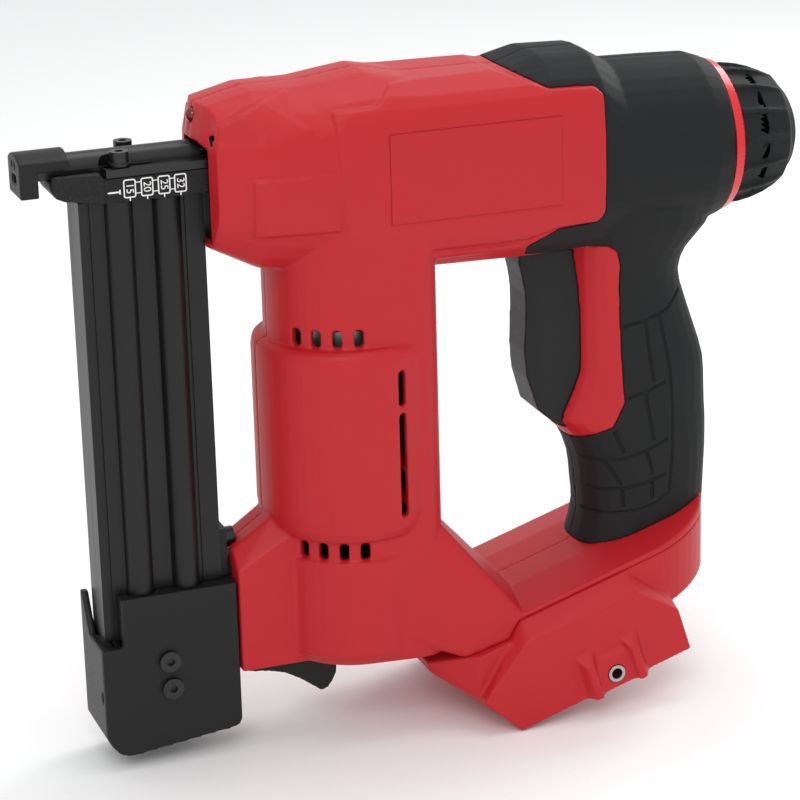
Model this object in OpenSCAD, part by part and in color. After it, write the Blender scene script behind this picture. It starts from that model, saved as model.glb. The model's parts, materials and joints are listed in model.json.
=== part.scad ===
// Cordless brad nailer: barrel along X, nose at -X, handle at the rear, +Z up.
// The origin is under the middle of the tool, on the surface that the foot stands on.

/* [Overall] */
// Height of the barrel axis above the lowest edge of the foot
axis_h = 196; // [180:1:240]
// Front face of the magazine to the axis of the motor column
column_x = 91.5; // [88:0.5:112]
// Front face of the magazine to the middle of the handle
handle_x = 199; // [192:1:245]

/* [Barrel and column] */
// Half width of the barrel across its flat sides
barrel_hw = 28; // [25:0.5:34]
// Wall of the red housing, with the soft skin where there is one
wall = 2.8; // [2.2:0.1:3.4]
// Thickness of the soft black skin
skin_t = 1.4; // [1:0.1:1.6]
// Radius of the motor bulge on the column
bulge_r = 32; // [29:0.5:38]
// How far the side panel stands out of the barrel
panel_raise = 1; // [0.4:0.1:1.4]
// Height of a cooling window
vent_h = 6; // [4:0.5:7]

/* [Handle and foot] */
// Half thickness of the handle, side to side
handle_hw = 18; // [15:0.5:22]
// Half width of the battery foot
foot_hw = 38; // [34:0.5:46]
// Slope of the battery foot, in degrees
foot_tilt = 17.2; // [15:0.2:18]
// Radius of the threaded hole for a belt hook
hook_hole_r = 2; // [1.6:0.1:2.4]
// Travel of the trigger
trigger_travel = 6; // [4:0.5:7]

/* [Magazine and nose] */
// Width of the magazine extrusion, front to back
mag_w = 42; // [36:0.5:50]
// Thickness of the magazine extrusion, side to side
mag_t = 15.2; // [13:0.2:18]
// Half width of the magazine's end cover
cover_hw = 13.8; // [12:0.2:16]
// Height of the end cover behind its step
cover_h = 57.5; // [50:0.5:66]
// Half width of the nose casting
nose_hw = 12; // [11:0.5:14]
// Travel of the safety contact
contact_travel = 3; // [2:0.5:3.2]

/* [Drive] */
// Bore radius of the striker's guide cylinder
bore_r = 17; // [15:0.5:17.5]
// Stroke of the striker
stroke = 48; // [40:1:50]
// Radius of the motor can
motor_r = 21.5; // [18:0.5:25]
// Radius at which the lifter's pins turn
lifter_r = 8; // [7:0.5:8]
// Number of pins on the lifter
lifter_pins = 7; // [6:1:8]
// Radial clearance of running shafts and pins
run_gap = 0.05; // [0.02:0.01:0.08]
// Clearance between pieces that are only seated
seat_gap = 0.3; // [0.2:0.05:0.4]

/* [Hidden] */
$fn = 48;

red = "#c8323a";
black = "#262626";
tar = "#171717";
steel = "#b8bcc0";
alloy = "#9a9da1";
eps = 0.01;

// ---- places that follow from the driving sizes, measured from the magazine's front
// face (x) and the barrel axis (z)
nose_front = -18.6;
ring_x = handle_x + 29;
knob_end = handle_x + 58.3;
mid_x = (nose_front + knob_end) / 2;
base_z = 29 - axis_h;
mag_bottom = 5 - axis_h;
collar_z = 52 - axis_h;
column_back = column_x + 26.5;
foot_front = handle_x - 59.5;
slope = tan(foot_tilt);
seam_drop = 37.7;
nose_drop = 32.5;
low_vent_z = base_z + 39.2;
high_vent_z = -45.7;
cover_front = -2.8;
cover_back = mag_w + 3.5;
cover_top = mag_bottom + cover_h;

// ---- helpers
module place() { translate([-mid_x, 0, axis_h]) children(); }
module side_prism(points, y0, y1) {
  translate([0, y1, 0]) rotate([90, 0, 0]) linear_extrude(y1 - y0) polygon(points);
}
module x_cyl(r, x0, x1, y = 0, z = 0, sides = 48) {
  translate([x0, y, z]) rotate([0, 90, 0]) cylinder(r = r, h = x1 - x0, $fn = sides);
}
module y_cyl(r, y0, y1, x = 0, z = 0, sides = 48) {
  translate([x, y1, z]) rotate([90, 0, 0]) cylinder(r = r, h = y1 - y0, $fn = sides);
}
module z_cyl(r, z0, z1, x = 0, y = 0) { translate([x, y, z0]) cylinder(r = r, h = z1 - z0); }
module box(x0, x1, y0, y1, z0, z1) { translate([x0, y0, z0]) cube([x1 - x0, y1 - y0, z1 - z0]); }
module both_sides() {
  children();
  mirror([0, 1, 0]) children();
}

// Closed skin over rings of equal length, each ring counter-clockwise about the stacking way
module skin(rings) {
  n = len(rings[0]);
  m = len(rings);
  sides = [for (i = [0:m - 2]) for (j = [0:n - 1]) let (k = (j + 1) % n)
    each [[i * n + j, (i + 1) * n + j, (i + 1) * n + k], [i * n + j, (i + 1) * n + k, i * n + k]]];
  polyhedron(points = [for (r = rings) each r],
    faces = concat([[for (j = [0:n - 1]) j]], sides, [[for (j = [n - 1:-1:0]) (m - 1) * n + j]]));
}
// Corner cutting: each corner becomes two points, a share r of each side away
function trimmed(p, r) = [for (i = [0:len(p) - 1]) let (a = p[i], b = p[(i + 1) % len(p)])
  each [a + (b - a) * r, b - (b - a) * r]];
// One row between each two rows of a table, on the smooth curve through them
function refined(t) = [for (i = [0:len(t) - 1]) each (i == len(t) - 1 ? [t[i]] :
  [t[i], (9 * (t[i] + t[i + 1]) - t[max(i - 1, 0)] - t[min(i + 2, len(t) - 1)]) / 16])];
function power(v, e) = sign(v) * pow(abs(v), e);

// ---- outer forms; grow is negative for the cavity inside
// Barrel rows: x, half width, top, bottom, half width of top, height where the upper slope
// starts, half width of bottom, height where the lower slope starts, share of roundness
barrel_rows = [
  [37, barrel_hw - 9.5, 27, -8.5, 12, 19, 12, -1, 0],
  [42, barrel_hw - 8, 31.2, -16.5, 12, 21, 12.5, -5, 0],
  [58.5, barrel_hw - 2.5, 35.2, -25.3, 12, 22, 14, -9, 0],
  [column_x - 14.5, barrel_hw - 1, 35, -27.6, 12, 24, 15, -12, 0],
  [column_x - 5.5, barrel_hw - 0.3, 36, -28.2, 12, 27, 16, -15, 0],
  [column_x + 6.5, barrel_hw, 37.6, -29, 12, 27.5, 17, -16, 0],
  [column_x + 21, barrel_hw, 34.45, -30.8, 14, 27.5, 18, -17, 0],
  [handle_x - 52, barrel_hw, 33.6, -31.5, 14, 27.5, 19, -17, 0],
  [handle_x - 39.5, barrel_hw, 37.4, -31.5, 13, 27, 19, -17, 0],
  [handle_x - 21.5, barrel_hw + 0.3, 37, -31.5, 13, 26, 19, -17, 0.15],
  [handle_x - 12, barrel_hw + 1.5, 31.4, -31, 12, 22, 18, -17, 1],
  [handle_x + 5, barrel_hw + 1.8, 30.9, -30.6, 12, 22, 18, -17, 1],
  [handle_x + 20, barrel_hw + 1.4, 30.2, -29.8, 12, 22, 18, -17, 1],
  [handle_x + 27, barrel_hw - 0.4, 27.7, -27.6, 12, 22, 18, -17, 1]
];
function barrel_ring(row, grow, fine) =
  let (w = row[1] + grow, t = row[2] + grow, b = row[3] - grow, wt = row[4] + 0.5 * grow,
    zt = row[5] + 0.3 * grow, wb = row[6] + 0.5 * grow, zb = row[7] - 0.3 * grow,
    rough = trimmed([[wt, t], [-wt, t], [-w, zt], [-w, zb], [-wb, b], [wb, b], [w, zb], [w, zt]],
      0.16),
    flat = fine ? trimmed(rough, 0.27) : rough)
  [for (p = flat) let (a = atan2(p[1], p[0]), r = row[8])
    [row[0], (1 - r) * p[0] + r * w * cos(a),
      (1 - r) * p[1] + r * (p[1] > 0 ? t : -b) * sin(a)]];
module barrel(grow) {
  skin([for (row = barrel_rows) barrel_ring(row, grow, grow >= 0)]);
}
// The cavity runs out at the front and stops before the rear ring
module barrel_hollow() {
  inner = [for (row = barrel_rows) barrel_ring(row, -wall, false)];
  first = [for (p = inner[0]) [p[0] - 4, p[1], p[2]]];
  last = [for (p = inner[len(inner) - 1]) [p[0] + 4, p[1], p[2]]];
  skin(concat([first], inner, [last]));
}

neck_r = bulge_r - 4.5;
module column_plan(r, grow) {
  hull() {
    translate([column_x, 0]) circle(r = r + grow, $fn = grow < 0 ? 28 : 56);
    for (s = [-1, 1]) translate([column_back - 9, s * (neck_r - 9.5)]) circle(r = 9 + grow, $fn = grow < 0 ? 12 : 24);
  }
}
// Plan that holds the bulge back to the flat rear of the column
module behind_trim(grow) {
  translate([column_x, 0, base_z]) linear_extrude(-base_z) offset(delta = grow)
    polygon([[-50, -50], [12, -50], [12, -bulge_r + 2.2], [18, -neck_r + 0.4], [26.2, -neck_r + 11], [26.2, neck_r - 11],
      [18, neck_r - 0.4], [12, bulge_r - 2.2], [12, 50], [-50, 50]]);
}
module column(grow) {
  translate([0, 0, base_z + 3 - grow]) linear_extrude(-base_z - 3 - 14 + grow) column_plan(neck_r, grow);
  hull() {
    translate([0, 0, base_z - grow]) linear_extrude(eps) column_plan(neck_r - 2.5, grow);
    translate([0, 0, base_z + 3 - grow]) linear_extrude(eps) column_plan(neck_r, grow);
  }
  intersection() {
    translate([column_x, 0, 0]) rotate_extrude($fn = grow < 0 ? 28 : 64) polygon([
      [0, high_vent_z - 6.6 + grow], [bulge_r - 2.5 + grow, high_vent_z - 6.6 + grow],
      [bulge_r - 0.6 + grow, high_vent_z - 8 + grow], [bulge_r + grow, high_vent_z - 11],
      [bulge_r + grow, low_vent_z + 16], [bulge_r - 0.8 + grow, low_vent_z + 11 - grow],
      [bulge_r - 2.4 + grow, low_vent_z + 7.6 - grow], [0, low_vent_z + 7.6 - grow]
    ]);
    behind_trim(grow);
  }
  translate([column_x, 0, base_z + 4 - grow]) cylinder(r = neck_r + 1.2 + grow, h = low_vent_z - base_z - 4.2 + 2 * grow);
}

function foot_z(x) = -axis_h + (x - foot_front) * slope;
function seam_z(x) = foot_z(x) + seam_drop;

// Sloping beam from the column down to the foot
module beam(grow) {
  hull() for (s = [-1, 1]) {
    for (p = [[column_x + 12, 22, -axis_h + 88], [column_back - 4, 20, -axis_h + 74],
        [column_x + 4, 26, -axis_h + 62], [column_x + 8, 27, -axis_h + 40],
        [foot_front - 14, 30, -axis_h + 28.5], [foot_front - 1, 31, -axis_h + 33],
        [foot_front + 3, 31, -axis_h + 38.5], [foot_front + 6, 15, -axis_h + 41]])
      translate([p[0], s * (p[1] + grow - 3), p[2]]) sphere(r = 3 + grow * 0.6, $fn = grow < 0 ? 6 : 12);
  }
}
// Web that carries the magazine in front of the column
module web(grow) {
  web_top = cover_top + 20;
  front = mag_w + 4.2 - grow;
  hull() {
    side_prism([[front, base_z - grow * 1.2], [front, cover_top + 3 + grow], [column_x - 26, web_top - 6 + grow],
      [column_x, web_top - 6 + grow], [column_x, base_z - grow * 1.2]], -cover_hw - grow, cover_hw + grow);
    side_prism([[front, base_z - grow * 1.2], [front, cover_top + 9.5 + grow], [column_x - 30, web_top + grow],
      [column_x, web_top + grow], [column_x, base_z - grow * 1.2]], -cover_hw + 7 - grow, cover_hw - 7 + grow);
  }
}

// Handle rows: z, front x, back x, half thickness
handle_span = -33 - collar_z;
function handle_at(f) = -33 - f * handle_span;
handle_rows = [
  [collar_z - 9, handle_x - 27, handle_x + 24, handle_hw + 4.5],
  [collar_z - 4, handle_x - 26, handle_x + 24.2, handle_hw + 1.8],
  [handle_at(0.97), handle_x - 24.6, handle_x + 24.5, handle_hw + 0.4],
  [handle_at(0.88), handle_x - 22.2, handle_x + 25, handle_hw - 0.2],
  [handle_at(0.80), handle_x - 22.8, handle_x + 25.5, handle_hw - 0.4],
  [handle_at(0.70), handle_x - 24, handle_x + 26, handle_hw],
  [handle_at(0.61), handle_x - 28, handle_x + 26.2, handle_hw],
  [handle_at(0.555), handle_x - 34, handle_x + 26.1, handle_hw - 0.2],
  [handle_at(0.50), handle_x - 32, handle_x + 25.9, handle_hw - 0.4],
  [handle_at(0.40), handle_x - 27.2, handle_x + 25.2, handle_hw - 0.8],
  [handle_at(0.30), handle_x - 26.6, handle_x + 21.8, handle_hw - 1],
  [handle_at(0.19), handle_x - 26.6, handle_x + 17.6, handle_hw - 0.8],
  [handle_at(0.10), handle_x - 27, handle_x + 15, handle_hw],
  [handle_at(0.02), handle_x - 28, handle_x + 18, handle_hw + 2],
  [-27, handle_x - 29, handle_x + 25.5, handle_hw + 4.5],
  [-18, handle_x - 29, handle_x + 27, handle_hw + 7]
];
function handle_ring(row, grow, n) =
  let (xm = (row[1] + row[2]) / 2, rx = (row[2] - row[1]) / 2 + grow, ry = row[3] + grow)
  [for (i = [0:n - 1]) let (a = i * 360 / n)
    [xm + rx * power(cos(a), 0.74), ry * power(sin(a), 0.82), row[0]]];
module handle(grow) {
  skin([for (row = grow < 0 ? handle_rows : refined(handle_rows)) handle_ring(row, grow, grow < 0 ? 16 : 28)]);
}

// Tray of the housing that lies on the foot, above the seam
module tray_plan(grow) {
  hull() {
    translate([foot_front + 2 - grow, -31 - grow]) square([10, 62 + 2 * grow]);
    translate([handle_x - 7, 0]) circle(r = 31 + grow);
  }
}
module tray(grow) {
  intersection() {
    translate([0, 0, -axis_h]) linear_extrude(90) tray_plan(grow);
    hull() {
      side_prism([[foot_front, seam_z(foot_front) - 3], [ring_x, seam_z(ring_x) - 3],
        [ring_x, seam_z(ring_x) + 1.6 + grow], [foot_front, seam_z(foot_front) + 1.6 + grow]], -33, 33);
      side_prism([[foot_front, seam_z(foot_front) - 3], [ring_x, seam_z(ring_x) - 3],
        [ring_x, seam_z(ring_x) + 5 + grow], [foot_front, seam_z(foot_front) + 5 + grow]], -14, 14);
    }
  }
}

// Cheeks that carry the upper slope further down at the front of the barrel
module cheeks(grow) {
  hull() for (s = [-1, 1]) for (p = [[38, 17, 24], [53, 20.5, 29.5], [60, 18, 32.2], [70, 12.5, 34.2], [74, 26, 22.5],
      [58, 24.5, 19], [38, 16, 17]])
    translate([p[0], s * p[1], p[2] + grow]) cube(0.2, center = true);
}
// Front face of the housing: blunt in plan, leaning back above the nose
module front_cut() {
  plan = [[20, -60], [48, -60], [43.4, -19], [42.6, -14.5], [40.6, -8.5], [39.4, -3], [39.4, 3], [40.6, 8.5], [42.6, 14.5],
    [43.4, 19], [48, 60], [20, 60]];
  skin([for (l = [[-60, 1.6], [-8, 0], [17, 0], [60, 7.6]]) [for (p = plan) [p[0] + l[1], p[1], l[0]]]]);
}
// Opening that the nose comes out of
module nose_opening() {
  translate([30, 0, 0]) rotate([90, 0, 90]) linear_extrude(mag_w - 28.3)
    polygon([[-nose_hw - 1.5, -14.5], [nose_hw + 1.5, -14.5], [nose_hw + 1.5, 17.4], [5, 19.4], [-5, 19.4],
      [-nose_hw - 1.5, 17.4]]);
}

module outer(grow) {
  barrel(grow);
  cheeks(grow);
  column(grow);
  beam(grow);
  handle(grow);
}

// Region of the soft skin, seen from the side
grip_points = [
  [handle_x - 57, 45], [handle_x - 57, 36.5], [handle_x - 41, 28.3], [handle_x - 25, 27.6], [handle_x - 22.3, 25],
  [handle_x - 22.3, -15.5], [handle_x - 25, -18.9], [handle_x - 38, -19.6], [handle_x - 49, -25.6],
  [handle_x - 48.8, -29.4], [handle_x - 37, -30.2], [handle_x - 17.5, -30.2], [handle_x - 14.4, -32.2], [handle_x - 13, -37],
  [handle_x - 10.5, handle_at(0.50)], [handle_x - 15, handle_at(0.575)], [handle_x - 28, handle_at(0.62)],
  [handle_x - 40, handle_at(0.63)], [handle_x - 40, handle_at(0.94)], [handle_x - 26, handle_at(0.975)],
  [handle_x - 18, handle_at(0.995)], [handle_x - 4, handle_at(1.015)], [handle_x + 8, handle_at(1.01)],
  [handle_x + 17, handle_at(0.985)], [handle_x + 40, handle_at(0.95)], [handle_x + 40, 45]
];
module grip_region() { side_prism(grip_points, -60, 60); }

panel_points = [
  [column_x - 9.5, 28], [column_x + 5, 28.5], [column_x + 12.5, 34.2], [handle_x - 57, 34.2],
  [handle_x - 41, 28.3], [handle_x - 22.3, 27.6], [handle_x - 22.3, -18.5], [handle_x - 39, -19],
  [handle_x - 50, -22], [column_x + 17, -22], [column_x + 6, -17.5], [column_x - 6.5, -17]
];
label_x0 = column_x + 8;
label_x1 = handle_x - 38;
label_z0 = -11;
label_z1 = 20;

module raised_panels() {
  intersection() {
    barrel(panel_raise);
    union() {
      side_prism(panel_points, -60, 60);
      side_prism([[column_x - 37, 8], [column_x - 9, 8], [column_x - 9, -11], [column_x - 37, -11]], -barrel_hw + 0.2,
        barrel_hw - 0.2);
      side_prism([[column_x + 6, -23.7], [handle_x - 51, -23.7], [handle_x - 51, -25.8], [column_x + 6, -25.8]], -60, 60);
    }
  }
}

cyl_out = bore_r + 2;
cyl_x0 = mag_w + 14;
cyl_x1 = handle_x - 3;
flange_x = mag_w + 8;
led_z = 26.7;
led_r = 2.5;

// Ribs inside the shell that carry the cylinder, the motor and the gearbox
module barrel_ribs() {
  difference() {
    intersection() {
      barrel(-wall + 0.2);
      for (x = [cyl_x0 + 8, handle_x - 60, cyl_x1 - 12]) box(x, x + 3, -40, 40, -29, 40);
    }
    x_cyl(cyl_out + seat_gap, 0, ring_x, 0, 0, 36);
    box(0, ring_x, -11.6, 15, -40, -8);
  }
}
gearbox_z1 = -48;
gearbox_z0 = -64;
motor_z0 = low_vent_z + 12;
fan_z1 = low_vent_z + 7;
module column_ribs() {
  translate([column_x, 0, 0]) for (z = [gearbox_z0 + 4, (gearbox_z0 + motor_z0) / 2 - 8, motor_z0 + 6])
    translate([0, 0, z]) difference() {
      intersection() {
        cylinder(r = bulge_r - wall + 0.2, h = 3, $fn = 28);
        translate([-60, -60, -1]) cube([60 + 26.2 - wall + 0.2, 120, 5]);
      }
      translate([0, 0, -1]) cylinder(r = motor_r + seat_gap, h = 5, $fn = 36);
    }
}
board_z = base_z + 18;
module switch_shelves() {
  intersection() {
    handle(-wall + 0.2);
    for (z = [-74.5, -41.6]) box(handle_x - 11, handle_x + 6, -20, 20, z, z + 2.2);
  }
}
module board_shelf() {
  intersection() {
    column(-wall + 0.2);
    difference() {
      box(column_x - 30, column_x + 30, -30, 30, board_z - 3, board_z - seat_gap);
      box(column_x - 17, column_x + 17, -15, 15, board_z - 4, board_z + 1);
    }
  }
}

vent_angles = [for (i = [0:3]) -54.5 + 15.5 * i];
module vents(z0) {
  both_sides() for (a = vent_angles) translate([column_x, 0, z0]) rotate([0, 0, a])
    hull() for (z = [0.4, vent_h - 0.4]) translate([0, -neck_r - 3, z]) rotate([-90, 0, 0])
      translate([-1.6, -0.4, 0]) cube([3.2, 0.8, 9]);
}
slot_x = column_x + 9.7;
slot_z1 = high_vent_z - 15;
slot_z0 = low_vent_z + 15;
module side_slot() {
  both_sides() {
    box(slot_x - 1.3, slot_x + 1.3, -bulge_r - 2, -neck_r + wall + 2, slot_z1 - 12.5, slot_z1);
    box(slot_x - 1.3, slot_x + 1.3, -bulge_r - 2, -neck_r + wall + 2, slot_z0, slot_z1 - 15);
  }
}
module slot_frame() {
  both_sides() box(slot_x - 3.2, slot_x + 3.2, -neck_r - 0.2, -neck_r + 2, slot_z0 - 2, slot_z1 + 2);
}

trigger_top = -32.2;
trigger_z0 = handle_at(0.575);
trigger_hw = 9;
module trigger_slot() {
  side_prism([[handle_x - 60, trigger_top + 0.3], [handle_x - 13, trigger_top + 0.3], [handle_x - 13, trigger_z0 + 6],
    [handle_x - 22, trigger_z0 - 1.2], [handle_x - 60, trigger_z0 + 4]], -trigger_hw - seat_gap,
    trigger_hw + seat_gap);
}
latch_x = mag_w + 17;
latch_z = base_z + 5;
latch_hw = 6;
module latch_pocket() {
  box(mag_w + 2, latch_x + 26, -latch_hw - seat_gap, latch_hw + seat_gap, base_z - 10, base_z + 16);
}
screw_spots = [
  [57, 26.4], [column_x + 24, 26], [handle_x - 48, 25.2], [handle_x + 13, 22],
  [column_x - 22, base_z + 17], [column_back - 1, -axis_h + 57], [handle_x + 13, handle_at(0.35)],
  [handle_x + 8, handle_at(0.93)], [foot_front - 6, -axis_h + 44]
];
screw_r = 3.2;
module screw_holes() {
  for (p = screw_spots) {
    y_cyl(screw_r + 0.2, 11, 40, p[0], p[1], 20);
    y_cyl(1.75, -8, 12, p[0], p[1], 12);
  }
}
module screw_bosses() {
  for (p = screw_spots) y_cyl(screw_r + 2, -40, 40, p[0], p[1], 16);
}

// Everything below the seam between the housing and the foot
module under_seam() {
  side_prism([[foot_front - 45, -axis_h - 20], [foot_front - 45, base_z - 1],
    [foot_front - 30, foot_z(foot_front - 30) + nose_drop], [foot_front - 1.2, foot_z(foot_front - 1.2) + nose_drop],
    [foot_front + 2.4, seam_z(foot_front + 2.4)], [ring_x + 10, seam_z(ring_x + 10)],
    [ring_x + 10, -axis_h - 20]], -60, 60);
}
module housing_solid() {
  difference() {
    union() {
      difference() {
        union() {
          outer(0);
          raised_panels();
          slot_frame();
        }
        grip_region();
      }
      outer(-skin_t);
      web(0);
      tray(0);
    }
    under_seam();
  }
}
module housing_cavity() {
  barrel_hollow();
  column(-wall);
  beam(-wall);
  handle(-wall);
  difference() {
    web(-wall);
    box(0, mag_w + 12, -20, 20, cover_top - 20, 0);
  }
  x_cyl(bore_r + 4.2, handle_x, ring_x + 20, 0, 0, 36);
}
module housing_body() {
  difference() {
    union() {
      difference() {
        housing_solid();
        difference() {
          housing_cavity();
          screw_bosses();
        }
      }
      barrel_ribs();
      column_ribs();
      board_shelf();
      switch_shelves();
      intersection() {
        barrel(-0.6);
        box(36, mag_w + 4.4, -40, 40, -40, 40);
      }
    }
    front_cut();
    nose_opening();
    vents(high_vent_z - vent_h);
    vents(low_vent_z + 0.4);
    side_slot();
    trigger_slot();
    latch_pocket();
    screw_holes();
    flange_plan(0.6, mag_w + 1.6, flange_x + 7, 22.5);
    x_cyl(led_r + 0.1, 30, mag_w + 5, 0, led_z, 20);
    both_sides() box(label_x0, label_x1, -60, -barrel_hw - panel_raise + 0.6, label_z0, label_z1);
    side_prism([[handle_x - 20, collar_z - 60], [handle_x - 20, seam_z(handle_x - 20) + 12],
      [handle_x + 14, seam_z(handle_x + 14) + 12], [handle_x + 14, collar_z - 60]], -12, 12);
    latch_pin_hole();
    x_cyl(3.6, mag_w + 2, mag_w + 7.2, 0, screw_z, 20);
    box(30, mag_w + 0.6, -mag_t / 2 - 0.5, mag_t / 2 + 0.5, -24, 0);
  }
}
module latch_pin_hole() { y_cyl(2.1, -cover_hw + 1.5, cover_hw - 1.5, latch_x, latch_z, 20); }

module left_half() { intersection() { children(); box(-60, knob_end + 20, -80, 0, -axis_h - 20, 80); } }
module right_half() { intersection() { children(); box(-60, knob_end + 20, 0, 80, -axis_h - 20, 80); } }

module housing_left() { color(red) place() left_half() housing_body(); }
module housing_right() { color(red) place() right_half() housing_body(); }

// Soft black skin moulded over the rear of both halves
module skin_body() {
  difference() {
    intersection() {
      outer(0);
      grip_region();
    }
    outer(-skin_t);
    tray(0);
    trigger_slot();
    x_cyl(bore_r + 4.2, handle_x + 15, ring_x + 20, 0, 0, 36);
    for (p = screw_spots) y_cyl(screw_r + 0.2, 11, 40, p[0], p[1], 20);
    under_seam();
  }
}
module grip_left() { color(black) place() left_half() skin_body(); }
module grip_right() { color(black) place() right_half() skin_body(); }

// ---- battery foot, drawn level and then tilted about its lowest edge
module in_foot() { translate([foot_front, 0, -axis_h]) rotate([0, -foot_tilt, 0]) children(); }
foot_inner_hw = foot_hw - 7;
bay_h = 16;
bay_front = 12;
foot_len = handle_x - 131;
seam_v = seam_drop * cos(foot_tilt);
nose_v = nose_drop * cos(foot_tilt);
hook_u = 38.7;
hook_v = 5.2;
hook_y = foot_hw + 2;
module foot_prism(points, hw) { side_prism(points, -hw, hw); }
module foot_shell() {
  in_foot() hull() {
    foot_prism([[0, 0], [foot_len, 0], [foot_len, 15.7], [foot_len - 12.4, 29.2], [14, 31], [11, nose_v - 1], [-9.3, 16.2]],
      foot_hw);
    foot_prism([[0, 0.1], [foot_len, 0.1], [foot_len + 0.5, 20], [foot_len - 12.4, seam_v], [14, seam_v]],
      foot_inner_hw);
  }
  in_foot() hull() {
    foot_prism([[0, 0], [11, 0], [11, nose_v], [-4, nose_v], [-9.3, 16.2]], foot_inner_hw + 2);
    foot_prism([[-20, nose_v - 4], [-20, nose_v], [0, nose_v]], foot_inner_hw - 11);
  }
}
module foot_rear() {
  intersection() {
    translate([0, 0, -axis_h - 20]) linear_extrude(120) tray_plan(0);
    in_foot() foot_prism([[12, bay_h], [foot_len + 40, bay_h], [foot_len + 40, seam_v], [14, seam_v]], foot_inner_hw + 2);
  }
}
module hook_boss() {
  both_sides() in_foot() {
    hull() {
      translate([hook_u - 7, -hook_y, 0]) cube([14, 4, hook_v + 6]);
      translate([hook_u - 7, -foot_hw, 0]) cube([14, 1, hook_v + 9]);
    }
    for (u = [hook_u - 11, hook_u + 6.5]) hull() {
      translate([u + 0.8, -hook_y - 2.2, -0.2]) cube([2.4, 3, hook_v + 8]);
      translate([u - 1.4, -foot_hw, -0.2]) cube([7.2, 1, hook_v + 12]);
    }
  }
}
module battery_foot() {
  color(red) place() difference() {
    union() {
      foot_shell();
      foot_rear();
      hook_boss();
    }
    in_foot() {
      box(bay_front, foot_len + 50, -foot_inner_hw, foot_inner_hw, -5, bay_h);
      box(bay_front - 14, handle_x - foot_front, -foot_inner_hw + 8, foot_inner_hw - 8, bay_h + 2.6, seam_v + 9);
    }
    intersection() {
      translate([0, 0, -axis_h]) linear_extrude(90) tray_plan(-wall);
      in_foot() box(bay_front - 2, foot_len + 40, -foot_inner_hw, foot_inner_hw, bay_h + 2.6, seam_v + 12);
    }
    housing_side();
    in_foot() both_sides() y_cyl(hook_out_r + run_gap, -hook_y - 1, -hook_y + hook_len, hook_u, hook_v);
  }
  color(red) place() in_foot() both_sides()
    box(bay_front, foot_len - 2, -foot_inner_hw - eps, -foot_inner_hw + rail_w, 0.4, rail_h);
}
rail_w = 4;
rail_h = 3.2;
module housing_side() {
  side_prism([[foot_front - 45, -axis_h + 60], [foot_front - 45, foot_z(foot_front - 45) + nose_drop],
    [foot_front - 1.2, foot_z(foot_front - 1.2) + nose_drop], [foot_front + 2.4, seam_z(foot_front + 2.4)],
    [ring_x + 10, seam_z(ring_x + 10)], [ring_x + 10, -axis_h + 90]], -60, 60);
}
hook_out_r = 3.1;
hook_len = 8;
module hook_inserts() {
  color(steel) place() in_foot() both_sides() difference() {
    y_cyl(hook_out_r, -hook_y, -hook_y + hook_len, hook_u, hook_v);
    y_cyl(hook_hole_r, -hook_y - 1, -hook_y + hook_len + 1, hook_u, hook_v);
  }
}
term_u = 20;
module terminal_block() {
  color(black) place() in_foot() difference() {
    box(term_u, term_u + 26, -13, 13, bay_h - 10, bay_h);
    for (y = [-9, -3, 3, 9]) box(term_u + 8, term_u + 27, y - 1.2, y + 1.2, bay_h - 11, bay_h - 2);
  }
}
module terminal_contacts() {
  color("#c9a24a") place() in_foot() for (y = [-9, -3, 3, 9])
    box(term_u + 8, term_u + 24, y - 0.4, y + 0.4, bay_h - 9, bay_h - 2);
}

module housing_screws() {
  color(steel) place() for (p = screw_spots) difference() {
    union() {
      y_cyl(screw_r, 11, 14, p[0], p[1]);
      y_cyl(1.6, -7, 11, p[0], p[1]);
    }
    translate([p[0], 15, p[1]]) rotate([90, 0, 0]) cylinder(r = 1.7, h = 2.4, $fn = 6);
  }
}
module trim_ring() {
  color(red) place() translate([handle_x + 27, 0, 0]) rotate([0, 90, 0]) rotate_extrude() polygon([
    [bore_r + 4, -4], [bore_r + 1.5, -4], [bore_r + 1.5, 4], [barrel_hw - 2.4, 4], [barrel_hw - 1.6, 3.2],
    [barrel_hw - 0.6, 0], [bore_r + 4, 0]]);
}
module label_plates() {
  color("#d9d9d6") place() both_sides()
    box(label_x0 + 0.4, label_x1 - 0.4, -barrel_hw - panel_raise + 0.1, -barrel_hw - panel_raise + 0.6,
      label_z0 + 0.4, label_z1 - 0.4);
}
module led_lenses() {
  color("#7a1418") place() {
    x_cyl(led_r, 41.9, mag_w + 4, 0, led_z);
    translate([41.9, 0, led_z]) sphere(r = led_r);
  }
}

// ---- nose
drive_z = 12;
nose_z0 = 3.1;
nose_z1 = 11;
nose_x0 = -8.8;
plate_x0 = mag_w + 2;
rib_hw = 3;
module nose_plan() {
  polygon([[nose_x0, -nose_hw + 3.8], [nose_x0 + 1.3, -nose_hw + 2.4], [7.5, -nose_hw], [mag_w + 2, -nose_hw],
    [mag_w + 2, nose_hw], [7.5, nose_hw], [nose_x0 + 1.3, nose_hw - 2.4], [nose_x0, nose_hw - 3.8]]);
}
nose_screw_x = [14.7, 19.7];
nose_screw_y = 7;
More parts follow.
